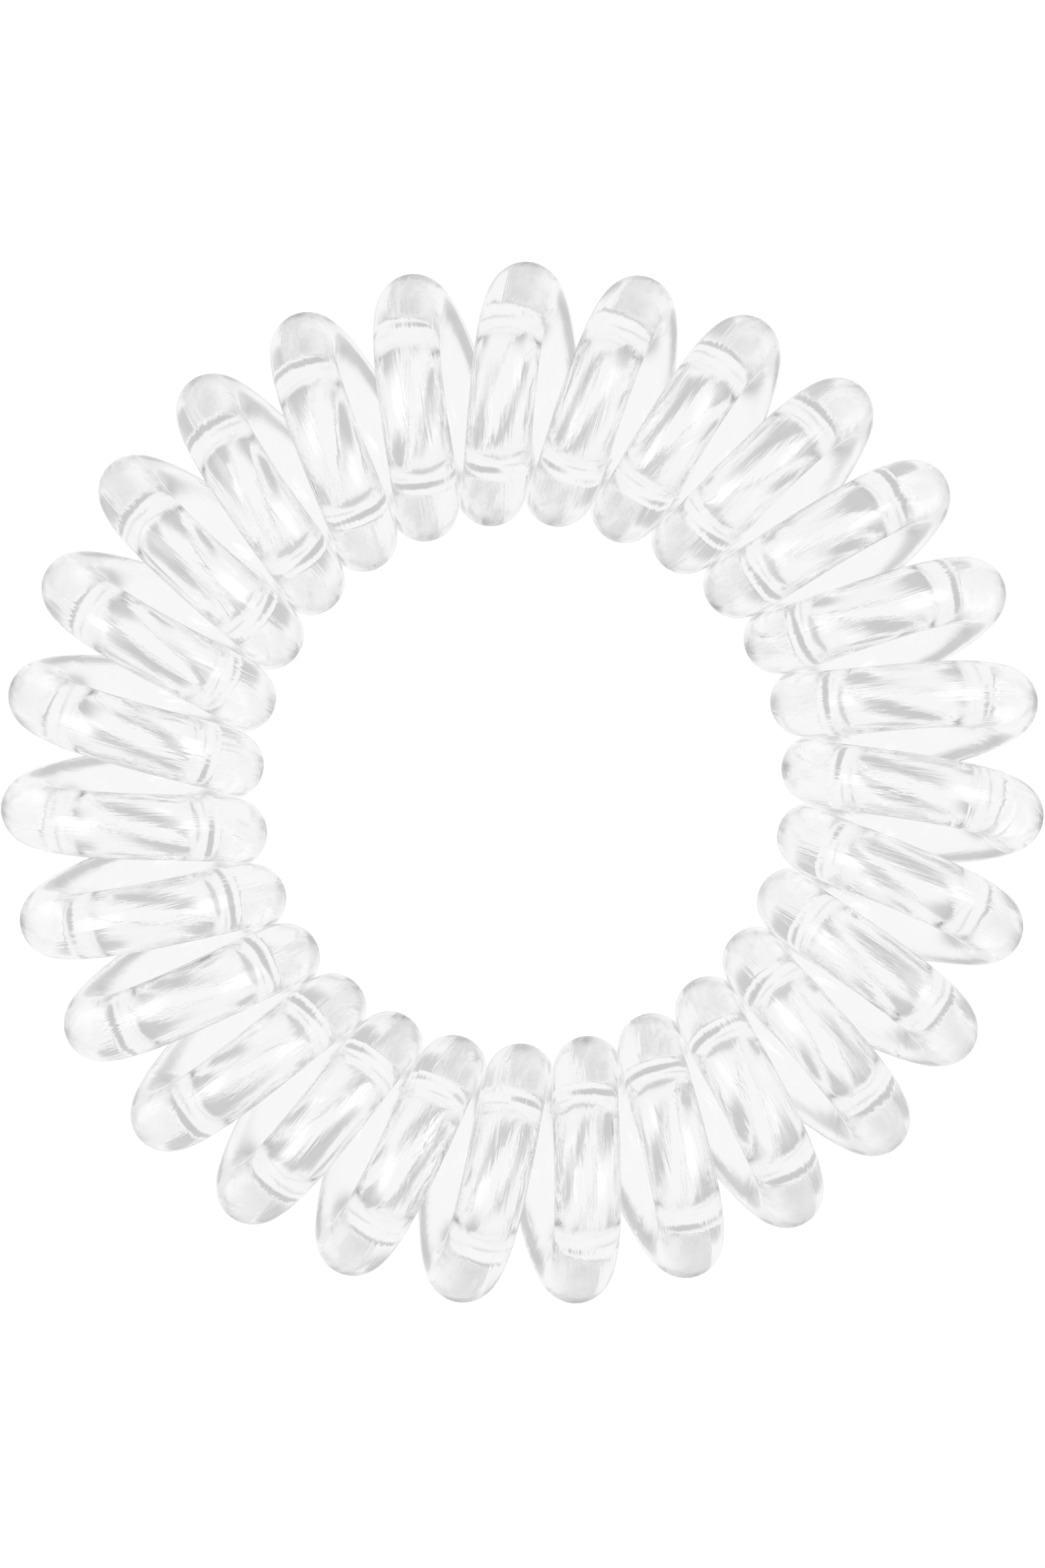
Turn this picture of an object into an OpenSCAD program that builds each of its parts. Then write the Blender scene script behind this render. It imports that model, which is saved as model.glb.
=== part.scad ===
// Spiral hair tie: one clear elastic wire, wound as a closed ring of round coil turns like a
// curly cord, with its two ends welded together. The turns stand side by side: they nearly
// touch round the hole and fan out towards the rim. All lengths are in millimetres.
// The ring lies flat on z = 0, and its axis is the Z axis.

/* [Wire] */
// Diameter of the round wire
wire_d = 2.55; // [1.8:0.05:3.2]

/* [Coil] */
// Number of coil turns round the ring
turns = 27; // [20:1:30]
// Outside diameter of one coil turn, over the wire
turn_outer_d = 10.1; // [8:0.1:13]
// Clear gap between two neighbouring turns where they are closest, at the hole
turn_gap = 0.04; // [0.02:0.01:0.5]

/* [Weld] */
// Direction in which the welded turn points outwards, from +X towards +Y, in degrees
weld_tip_angle = -3.8; // [-180:0.1:180]
// Place of the weld on its turn, in degrees up and over from the turn's outermost point
weld_rise_angle = 40; // [0:1:90]
// Width of the weld's raised seam, along the wire
weld_bead_w = 0.4; // [0.2:0.05:0.8]
// Height of the weld's raised seam above the wire
weld_bead_h = 0.06; // [0.02:0.01:0.15]

/* [Hidden] */

// Flat sides round the wire, and rings of points along one coil turn
wire_sides = 10;
rings_per_turn = 20;
ring_step = 360 / rings_per_turn;

wire_r = wire_d / 2;
// Radius of one turn, from its middle to the middle of the wire
turn_r = turn_outer_d / 2 - wire_r;
// Distance from the ring's axis to the middle of each turn. The wire slants where it passes
// the hole, which widens it along the ring, and the turns are set that far apart there.
strand_pitch = wire_d + turn_gap;
slant_pitch = strand_pitch / sqrt(1 - pow(strand_pitch / (2 * PI * turn_r), 2));
ring_r = turn_r + slant_pitch / (2 * sin(180 / turns));

// The seam's outline along the wire: shares of its half width and of its height
BEAD_ALONG = 0;
BEAD_HEIGHT = 1;
bead_outline = [
    [0, 1],
    [0.5, 0.7],
    [1, 0],
];
// Half of the seam, in degrees along the turn, and how far the plain rings keep from the weld
bead_reach = weld_bead_w / 2 / (turn_r * PI / 180);
weld_clear = bead_reach + ring_step / 4;

// The wire runs from the weld through every turn and back to the weld. Each station along it
// is an angle round the turns and the wire's radius there.
weld_end_angle = weld_rise_angle + 360 * turns;
first_ring = ceil((weld_rise_angle + weld_clear) / ring_step);
last_ring = floor((weld_end_angle - weld_clear) / ring_step);

function bead_radius(row) = wire_r + weld_bead_h * row[BEAD_HEIGHT];

stations = [
    for (row = bead_outline)
        [weld_rise_angle + bead_reach * row[BEAD_ALONG], bead_radius(row)],
    for (ring = [first_ring : last_ring])
        [ring * ring_step, wire_r],
    for (i = [len(bead_outline) - 1 : -1 : 1])
        let (row = bead_outline[i])
        [weld_end_angle - bead_reach * row[BEAD_ALONG], bead_radius(row)],
];

// Direction round the ring that an angle round the turns has reached
function ring_angle(angle) = weld_tip_angle + angle / turns;

// Unit directions away from the ring's axis and along the ring
function away(angle) = [cos(ring_angle(angle)), sin(ring_angle(angle)), 0];
function along(angle) = [-sin(ring_angle(angle)), cos(ring_angle(angle)), 0];

// Unit direction from the middle of the turn out to the wire
function turn_out(angle) = cos(angle) * away(angle) + [0, 0, sin(angle)];

function wire_centre(angle) =
    ring_r * away(angle) + turn_r * turn_out(angle) + [0, 0, turn_outer_d / 2];

// Unit direction in which the wire runs
function wire_run(angle) =
    let (
        round_turn = turn_r * (-sin(angle) * away(angle) + [0, 0, cos(angle)]),
        round_ring = (ring_r + turn_r * cos(angle)) / turns * along(angle),
        run = round_turn + round_ring
    )
    run / norm(run);

// The points round the wire at one station
function wire_ring(station) =
    let (
        angle = station[0],
        radius = station[1],
        out = turn_out(angle),
        side = cross(wire_run(angle), out)
    )
    [
        for (i = [0 : wire_sides - 1])
            let (turned = 360 * i / wire_sides)
            wire_centre(angle) + radius * (cos(turned) * out + sin(turned) * side)
    ];

function point_index(ring, side) =
    (ring % len(stations)) * wire_sides + side % wire_sides;

module coil() {
    color([0.93, 0.95, 0.96, 0.45])
    polyhedron(
        points = [for (station = stations) each wire_ring(station)],
        faces = [
            for (ring = [0 : len(stations) - 1], side = [0 : wire_sides - 1])
                let (
                    here = point_index(ring, side),
                    ahead = point_index(ring + 1, side),
                    beside = point_index(ring, side + 1),
                    across = point_index(ring + 1, side + 1)
                )
                each [[here, ahead, across], [here, across, beside]]
        ],
        convexity = 12
    );
}

coil();
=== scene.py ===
# Spiral hair tie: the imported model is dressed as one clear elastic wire, coiled and welded.
import math

import bpy
from mathutils import Matrix, Vector


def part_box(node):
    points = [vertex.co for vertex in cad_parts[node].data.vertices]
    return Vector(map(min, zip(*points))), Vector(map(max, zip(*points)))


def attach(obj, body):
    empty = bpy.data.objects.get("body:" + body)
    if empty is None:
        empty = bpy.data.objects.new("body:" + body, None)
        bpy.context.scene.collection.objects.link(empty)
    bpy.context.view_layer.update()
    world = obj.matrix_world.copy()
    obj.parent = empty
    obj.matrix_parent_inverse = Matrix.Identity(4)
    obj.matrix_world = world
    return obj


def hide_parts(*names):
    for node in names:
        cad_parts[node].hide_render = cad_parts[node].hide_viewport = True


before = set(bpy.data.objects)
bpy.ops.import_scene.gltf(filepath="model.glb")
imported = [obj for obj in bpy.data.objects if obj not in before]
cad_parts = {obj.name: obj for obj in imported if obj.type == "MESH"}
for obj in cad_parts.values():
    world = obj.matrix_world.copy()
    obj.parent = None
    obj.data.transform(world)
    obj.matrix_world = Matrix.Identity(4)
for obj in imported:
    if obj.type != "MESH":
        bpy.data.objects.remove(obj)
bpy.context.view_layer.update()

MM = 0.001

# Camera
# It looks straight down at the tie from half a metre, and the picture is as wide as the tie.
camera_height = 500 * MM
picture_height = 60.168 * MM
ring_low, ring_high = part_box("coil")
ring_middle_z = (ring_low.z + ring_high.z) / 2
bpy.ops.object.camera_add(location=(0, 0, ring_middle_z + camera_height), rotation=(0, 0, 0))
camera = bpy.context.object
camera.name = "camera"
camera.data.sensor_fit = "VERTICAL"
camera.data.angle = 2 * math.atan(picture_height / 2 / camera_height)
camera.data.clip_start = 10 * MM
camera.data.clip_end = 20
bpy.context.scene.camera = camera

# Coiled wire
# One drawn thermoplastic wire, round and clear, set by heat into a closed ring of 27 turns.
# Each turn is carried on from the one before, and the last meets the first at the weld.
wire_radius = 1.275 * MM
turn_count = 27
weld_tip_angle = math.radians(-3.8)
weld_rise_angle = math.radians(40)
wire_sides = 32
sections_per_turn = 88
merge_distance = 0.001 * MM

coil_points = [point.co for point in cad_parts["coil"].data.vertices]
ring_outer_radius = max(point.xy.length for point in coil_points)
turn_outer_radius = (ring_high.z - ring_low.z) / 2
turn_radius = turn_outer_radius - wire_radius
ring_radius = ring_outer_radius - turn_outer_radius
turn_middle = Vector((ring_radius, 0, ring_low.z + turn_outer_radius))
turn_spacing = 2 * math.pi / turn_count
wire_slant = math.atan(ring_radius / (turn_count * turn_radius))

# The first section stands across the wire at the weld, while the turn points along X
weld_stand = (
    Matrix.Translation(turn_middle)
    @ Matrix.Rotation(-weld_rise_angle, 4, "Y")
    @ Matrix.Translation((turn_radius, 0, 0))
    @ Matrix.Rotation(-wire_slant, 4, "X")
)
bpy.ops.object.select_all(action="DESELECT")
bpy.ops.mesh.primitive_circle_add(
    vertices=wire_sides,
    radius=wire_radius,
    location=weld_stand.to_translation(),
    rotation=weld_stand.to_euler(),
)
wire = bpy.context.object
wire.name = "coiled_wire"
bpy.ops.object.transform_apply(location=True, rotation=True)

# Each new section is swung round the turn and moved on round the ring. The wire made so far
# is turned back by as much, so that the next section is always made at the X axis.
section_swing = 2 * math.pi / sections_per_turn
section_advance = turn_spacing / sections_per_turn
bpy.ops.object.mode_set(mode="EDIT")
bpy.ops.mesh.select_all(action="SELECT")
for section in range(sections_per_turn):
    bpy.ops.mesh.extrude_region_move()
    bpy.ops.transform.rotate(value=section_swing, orient_axis="Y", center_override=turn_middle)
    bpy.ops.transform.rotate(value=-section_advance, orient_axis="Z", center_override=(0, 0, 0))
    wire.rotation_euler.z -= section_advance
    bpy.context.view_layer.update()
bpy.ops.object.mode_set(mode="OBJECT")
wire.rotation_euler.z = weld_tip_angle + weld_rise_angle / turn_count
bpy.ops.object.transform_apply(rotation=True)

# Where each corner lies on the wire: two coordinates across its section and one along it.
# The drawn lines in the wire's surface follow them.
wire_length_per_turn = turn_radius * 2 * math.pi / math.cos(wire_slant)
place_on_wire = wire.data.attributes.new("place_on_wire", "FLOAT_VECTOR", "CORNER")
for face in wire.data.polygons:
    for corner, point in zip(face.loop_indices, face.vertices):
        section, side = divmod(point, wire_sides)
        turned = 2 * math.pi * side / wire_sides
        place_on_wire.data[corner].vector = (
            wire_radius * math.cos(turned),
            wire_radius * math.sin(turned),
            wire_length_per_turn * section / sections_per_turn,
        )

# The turns are copies, each moved on round the ring and further along the wire
turns = [wire]
for number in range(1, turn_count):
    turn = wire.copy()
    turn.data = wire.data.copy()
    bpy.context.collection.objects.link(turn)
    turn.data.transform(Matrix.Rotation(turn_spacing * number, 4, "Z"))
    for corner in turn.data.attributes["place_on_wire"].data:
        corner.vector.z += wire_length_per_turn * number
    turns.append(turn)
bpy.ops.object.select_all(action="DESELECT")
for turn in turns:
    turn.select_set(True)
bpy.context.view_layer.objects.active = wire
bpy.ops.object.join()
bpy.ops.object.mode_set(mode="EDIT")
bpy.ops.mesh.select_all(action="SELECT")
bpy.ops.mesh.remove_doubles(threshold=merge_distance)
bpy.ops.mesh.normals_make_consistent(inside=False)
bpy.ops.mesh.select_all(action="DESELECT")
bpy.ops.object.mode_set(mode="OBJECT")

# The weld's seam: the loop where the ends meet is bevelled into a strip, and the middle of the
# strip is raised. At the weld Z runs along the wire, and -Y points round the ring, clockwise.
seam_width = 0.3 * MM
seam_height = 0.03 * MM
seam_shoulder = 0.5
seam_tolerance = 0.01 * MM
at_weld = Matrix.Rotation(weld_tip_angle + weld_rise_angle / turn_count, 4, "Z") @ weld_stand
to_weld = at_weld.inverted()


def select_seam_loop(place_along):
    for point in wire.data.vertices:
        place = to_weld @ point.co
        near_weld = place.length < 2 * wire_radius
        point.select = near_weld and abs(place.z - place_along) < seam_tolerance


select_seam_loop(0)
bpy.ops.object.mode_set(mode="EDIT")
bpy.ops.mesh.bevel(offset=seam_width / 2, segments=4, affect="EDGES")
for place_along, rise in (
    (0, 1),
    (seam_width / 4, seam_shoulder),
    (-seam_width / 4, seam_shoulder),
):
    bpy.ops.mesh.select_all(action="DESELECT")
    bpy.ops.object.mode_set(mode="OBJECT")
    select_seam_loop(place_along)
    bpy.ops.object.mode_set(mode="EDIT")
    raised = 1 + rise * seam_height / wire_radius
    bpy.ops.transform.resize(
        value=(raised, raised, raised), center_override=at_weld @ Vector((0, 0, place_along))
    )
bpy.ops.mesh.select_all(action="DESELECT")
bpy.ops.object.mode_set(mode="OBJECT")

# The weld's fin, a thin flap of plastic that was squeezed out. It is lens-shaped, joined to the
# wire's clockwise side at the seam, and stands off it towards the rim.
fin_length = 1.78 * MM
fin_width = 0.44 * MM
fin_thickness = 0.14 * MM
fin_lean = math.radians(10.7)
fin_beside_wire_middle = 1.42 * MM
fin_before_seam = 0.68 * MM
crease_angle = math.radians(45)
fin_stand = (
    at_weld
    @ Matrix.Translation((0, -fin_beside_wire_middle, -fin_before_seam))
    @ Matrix.Rotation(-fin_lean, 4, "X")
)
bpy.ops.object.select_all(action="DESELECT")
bpy.ops.mesh.primitive_uv_sphere_add(
    segments=32,
    ring_count=20,
    radius=1,
    location=fin_stand.to_translation(),
    rotation=fin_stand.to_euler(),
    scale=(fin_thickness / 2, fin_width / 2, fin_length / 2),
)
fin = bpy.context.object
bpy.ops.object.transform_apply(location=True, rotation=True, scale=True)
bpy.ops.object.select_all(action="DESELECT")
wire.select_set(True)
bpy.context.view_layer.objects.active = wire
fin_join = wire.modifiers.new("fin_join", "BOOLEAN")
fin_join.operation = "UNION"
fin_join.solver = "EXACT"
fin_join.object = fin
bpy.ops.object.modifier_apply(modifier=fin_join.name)
bpy.data.objects.remove(fin)
bpy.ops.object.shade_smooth_by_angle(angle=crease_angle)

# Clear elastic plastic, with fine lines along the wire from the die that it was drawn through.
# The lines' and the patches' steps per metre are given twice across the wire and once along it.
line_steps = (6500, 6500, 280)
line_relief = 0.045 * MM
patch_steps = (1400, 1400, 250)
faint_patch_to = 0.4
full_patch_from = 0.65
faint_patch_depth = 0.15
worn_to_height = 0.4
unworn_from_height = 0.85
worn_depth_left = 0.2
clear_plastic = bpy.data.materials.new("clear_elastic_plastic")
clear_plastic.use_nodes = True
nodes = clear_plastic.node_tree.nodes
links = clear_plastic.node_tree.links
plastic = nodes["Principled BSDF"]
plastic.inputs["Base Color"].default_value = (0.99, 0.99, 0.99, 1)
plastic.inputs["Roughness"].default_value = 0.04
plastic.inputs["Transmission Weight"].default_value = 1
plastic.inputs["IOR"].default_value = 1.3


def pattern_math(operation, *values):
    node = nodes.new("ShaderNodeMath")
    node.operation = operation
    for socket, value in zip(node.inputs, values):
        if isinstance(value, bpy.types.NodeSocket):
            links.new(value, socket)
        else:
            socket.default_value = value
    return node.outputs["Value"]


def pattern_ramp(value, start, end, start_tone, end_tone, shape="SMOOTHSTEP"):
    node = nodes.new("ShaderNodeMapRange")
    node.interpolation_type = shape
    node.inputs["From Min"].default_value = start
    node.inputs["From Max"].default_value = end
    node.inputs["To Min"].default_value = start_tone
    node.inputs["To Max"].default_value = end_tone
    links.new(value, node.inputs["Value"])
    return node.outputs["Result"]


def wire_noise(steps, detail):
    stretch = nodes.new("ShaderNodeMapping")
    stretch.inputs["Scale"].default_value = steps
    noise = nodes.new("ShaderNodeTexNoise")
    noise.inputs["Scale"].default_value = 1
    noise.inputs["Detail"].default_value = detail
    links.new(place.outputs["Vector"], stretch.inputs["Vector"])
    links.new(stretch.outputs["Vector"], noise.inputs["Vector"])
    return noise.outputs["Fac"]


place = nodes.new("ShaderNodeAttribute")
place.attribute_name = "place_on_wire"
drawn_lines = wire_noise(line_steps, 3)

# The lines come and go in patches along the wire
patch_depth = pattern_ramp(
    wire_noise(patch_steps, 1), faint_patch_to, full_patch_from, faint_patch_depth, 1, "LINEAR"
)

# They fade at each turn's outer and inner end, where the tie rubs and is worn smooth. The height
# is measured from the middle of the turn, and is 1 at its top and at its foot.
along_wire = nodes.new("ShaderNodeSeparateXYZ")
links.new(place.outputs["Vector"], along_wire.inputs["Vector"])
turn_angle = pattern_math(
    "MULTIPLY_ADD", along_wire.outputs["Z"], 2 * math.pi / wire_length_per_turn, weld_rise_angle
)
height = pattern_math("ABSOLUTE", pattern_math("SINE", turn_angle))
worn_depth = pattern_ramp(height, worn_to_height, unworn_from_height, worn_depth_left, 1)

relief = nodes.new("ShaderNodeBump")
relief.inputs["Strength"].default_value = 1
relief.inputs["Distance"].default_value = line_relief
line_share = pattern_math("MULTIPLY", patch_depth, worn_depth)
line_depth = pattern_math("MULTIPLY", drawn_lines, line_share)
links.new(line_depth, relief.inputs["Height"])
links.new(relief.outputs["Normal"], plastic.inputs["Normal"])
wire.data.materials.clear()
wire.data.materials.append(clear_plastic)

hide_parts("coil")
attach(wire, "root")

# Floor
# A plain white surface, lit from behind, which the tie lies on. The wire is seen against it, but
# light that comes through the wire passes on to the board below.
floor_size = 20
floor_glow_strength = 1.02
bpy.ops.object.select_all(action="DESELECT")
bpy.ops.mesh.primitive_plane_add(size=floor_size, location=(0, 0, 0))
floor = bpy.context.object
floor.name = "floor"
floor_glow = bpy.data.materials.new("white_floor")
floor_glow.use_nodes = True
floor_paint = floor_glow.node_tree.nodes["Principled BSDF"]
floor_paint.inputs["Base Color"].default_value = (0, 0, 0, 1)
floor_paint.inputs["Roughness"].default_value = 1
floor_paint.inputs["Specular IOR Level"].default_value = 0
floor_paint.inputs["Emission Color"].default_value = (1, 1, 1, 1)
floor_paint.inputs["Emission Strength"].default_value = floor_glow_strength
floor.data.materials.append(floor_glow)
floor.visible_transmission = False
floor.visible_glossy = False
floor.visible_diffuse = False
floor.visible_shadow = False

# Light board
# A lit board below the floor, with a soft pattern of pale squares that pales outwards. Clear
# goods show no tones of their own: the wire bends these into the streaks that draw its form.
board_size = 4
board_depth = 90 * MM
board_square = 60 * MM
square_light = 0.945
square_dark = 0.6
square_dark_to = -0.78
square_light_from = 0.22
contrast_start = 60 * MM
contrast_end = 140 * MM
contrast_left = 0.15
middle_end = 110 * MM
outer_share = 0.99
edge_start = 220 * MM
edge_end = 900 * MM
edge_share = 0.4
bpy.ops.object.select_all(action="DESELECT")
bpy.ops.mesh.primitive_plane_add(size=board_size, location=(0, 0, -board_depth))
board = bpy.context.object
board.name = "light_board"
board_glow = bpy.data.materials.new("light_board")
board_glow.use_nodes = True
nodes = board_glow.node_tree.nodes
links = board_glow.node_tree.links
nodes.clear()
glow_out = nodes.new("ShaderNodeOutputMaterial")
glow = nodes.new("ShaderNodeEmission")
board_place = nodes.new("ShaderNodeTexCoord")
split = nodes.new("ShaderNodeSeparateXYZ")
links.new(board_place.outputs["Object"], split.inputs["Vector"])
waves = [
    pattern_math("COSINE", pattern_math("MULTIPLY", split.outputs[axis], math.pi / board_square))
    for axis in ("X", "Y")
]
squares = pattern_ramp(pattern_math("MULTIPLY", *waves), square_dark_to, square_light_from, 1, 0)
from_middle = pattern_math(
    "MAXIMUM",
    pattern_math("ABSOLUTE", split.outputs["X"]),
    pattern_math("ABSOLUTE", split.outputs["Y"]),
)
contrast = pattern_ramp(from_middle, contrast_start, contrast_end, 1, contrast_left)
darkened = pattern_math("MULTIPLY", squares, contrast)
board_tone = pattern_ramp(darkened, 0, 1, square_light, square_dark)
outer_tone = pattern_ramp(from_middle, board_square / 2, middle_end, 1, outer_share)
edge_tone = pattern_ramp(from_middle, edge_start, edge_end, 1, edge_share)
board_tone = pattern_math("MULTIPLY", board_tone, pattern_math("MULTIPLY", outer_tone, edge_tone))
links.new(board_tone, glow.inputs["Strength"])
links.new(glow.outputs["Emission"], glow_out.inputs["Surface"])
board.data.materials.append(board_glow)
board.visible_camera = False

# Light
# Two round softboxes, one at each end of the X axis, inside a pale tent. The tent is lightest at
# its two ends and has a darker top. The softboxes show only in what the wire mirrors.
scene = bpy.context.scene
scene.view_settings.view_transform = "Standard"
scene.cycles.max_bounces = 32
scene.cycles.transmission_bounces = 32
scene.cycles.glossy_bounces = 32
softbox_distance = 1
softbox_size = 1.2
softbox_from_zenith = math.radians(50)
softbox_radiance = 11
softbox_rim_radiance = 0.8
softbox_glow = bpy.data.materials.new("softbox")
softbox_glow.use_nodes = True
nodes = softbox_glow.node_tree.nodes
links = softbox_glow.node_tree.links
nodes.clear()
glow_out = nodes.new("ShaderNodeOutputMaterial")
glow = nodes.new("ShaderNodeEmission")
cloth_place = nodes.new("ShaderNodeTexCoord")
from_middle = nodes.new("ShaderNodeVectorMath")
from_middle.operation = "LENGTH"
links.new(cloth_place.outputs["Object"], from_middle.inputs[0])
cloth_tone = pattern_ramp(
    from_middle.outputs["Value"], 0, softbox_size / 2, softbox_radiance, softbox_rim_radiance
)
links.new(cloth_tone, glow.inputs["Strength"])
links.new(glow.outputs["Emission"], glow_out.inputs["Surface"])
for side in (1, -1):
    slope = softbox_from_zenith * side
    bpy.ops.object.select_all(action="DESELECT")
    bpy.ops.mesh.primitive_circle_add(
        vertices=48,
        radius=softbox_size / 2,
        fill_type="NGON",
        location=(softbox_distance * math.sin(slope), 0, softbox_distance * math.cos(slope)),
        rotation=(0, slope, 0),
    )
    softbox = bpy.context.object
    softbox.name = "softbox"
    softbox.data.materials.append(softbox_glow)
    softbox.visible_camera = False
    softbox.visible_transmission = False

# The tent's tone goes by the heading and by the height, as the sine of its angle
tent_sides = 0.89
tent_ends = 1.02
tent_top_start = 0.65
tent_top_end = 0.71
tent_top_loss_sides = 0.24
tent_top_loss_ends = 0.1
tent_foot_end = 0.12
tent_foot_share = 0.6
tent = bpy.data.worlds.new("light_tent")
tent.use_nodes = True
nodes = tent.node_tree.nodes
links = tent.node_tree.links
heading = nodes.new("ShaderNodeTexCoord")
split = nodes.new("ShaderNodeSeparateXYZ")
links.new(heading.outputs["Generated"], split.inputs["Vector"])
level_x = pattern_math("MULTIPLY", split.outputs["X"], split.outputs["X"])
level_y = pattern_math("MULTIPLY", split.outputs["Y"], split.outputs["Y"])
towards_end = pattern_math("DIVIDE", level_x, pattern_math("ADD", level_x, level_y))
tent_tone = pattern_ramp(towards_end, 0, 1, tent_sides, tent_ends)
top_loss = pattern_math(
    "MULTIPLY",
    pattern_ramp(split.outputs["Z"], tent_top_start, tent_top_end, 0, 1),
    pattern_ramp(towards_end, 0, 1, tent_top_loss_sides, tent_top_loss_ends),
)
top_tone = pattern_math("SUBTRACT", 1, top_loss)
foot_tone = pattern_ramp(split.outputs["Z"], 0, tent_foot_end, tent_foot_share, 1)
tent_tone = pattern_math("MULTIPLY", tent_tone, pattern_math("MULTIPLY", top_tone, foot_tone))
links.new(tent_tone, nodes["Background"].inputs["Strength"])
nodes["Background"].inputs["Color"].default_value = (1, 1, 1, 1)
scene.world = tent
